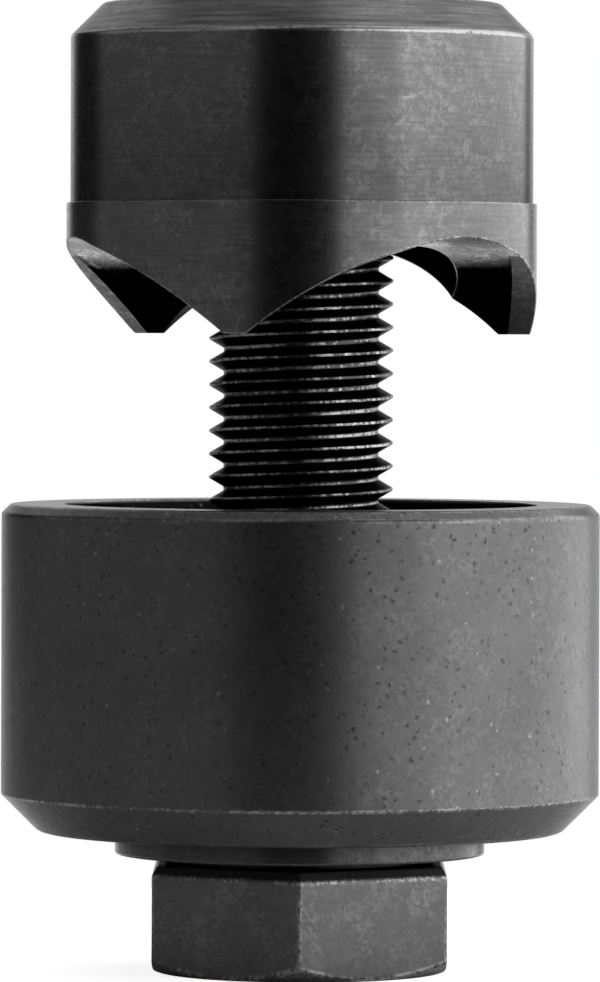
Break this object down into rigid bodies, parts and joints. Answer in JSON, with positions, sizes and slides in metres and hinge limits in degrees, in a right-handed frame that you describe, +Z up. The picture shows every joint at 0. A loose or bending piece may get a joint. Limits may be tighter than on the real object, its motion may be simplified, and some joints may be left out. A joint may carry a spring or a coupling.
{
  "type": "screw punch",
  "caption": "Screw punch for round holes in sheet metal: toothed punch drawn into a hollow die by a hexagon-headed screw on a thrust bearing.",
  "frame": {"origin": "centre of the bottom end face of the screw's hexagon head, on which the tool stands", "axes": "+Z up along the screw, -Y towards the viewer of the picture, +X to that viewer's right"},
  "size_m": [0.0388, 0.0388, 0.0627],
  "materials": {
    "punch_steel": "black oxide over fine turning marks",
    "die_steel": "black oxide, satin and lightly pitted",
    "screw_steel": "black oxide, worn on the edges",
    "race_steel": "black oxide, ground grooves",
    "cage_steel": "pressed sheet, dull",
    "ball_steel": "polished"
  },
  "bodies": {
    "die": {"die": "die_steel", "upper_race": "race_steel"},
    "screw": {"draw_screw": "screw_steel", "lower_race": "race_steel"},
    "punch": {"punch": "punch_steel"},
    "cage": {"ball_cage": "cage_steel", "ball_01": "ball_steel", "ball_02": "ball_steel", "ball_03": "ball_steel", "ball_04": "ball_steel", "ball_05": "ball_steel", "ball_06": "ball_steel", "ball_07": "ball_steel", "ball_08": "ball_steel", "ball_09": "ball_steel", "ball_10": "ball_steel", "ball_11": "ball_steel", "ball_12": "ball_steel"}
  },
  "joints": [
    {"name": "screw_turn", "type": "hinge", "parent": "die", "child": "screw", "pos_m": [0, 0, 0], "axis": [0, 0, 1], "range_deg": [-2881, 4681]},
    {"name": "punch_draw", "type": "slide", "parent": "die", "child": "punch", "axis": [0, 0, 1], "range_m": [-0.0195, 0.012]},
    {"name": "cage_turn", "type": "hinge", "parent": "die", "child": "cage", "pos_m": [0, 0, 0], "axis": [0, 0, 1], "range_deg": [-1441, 2341]}
  ],
  "couplings": [
    {"joint": "screw_turn", "follows": "punch_draw", "rad_per_m": -4188.8},
    {"joint": "cage_turn", "follows": "punch_draw", "rad_per_m": -2094.4}
  ]
}
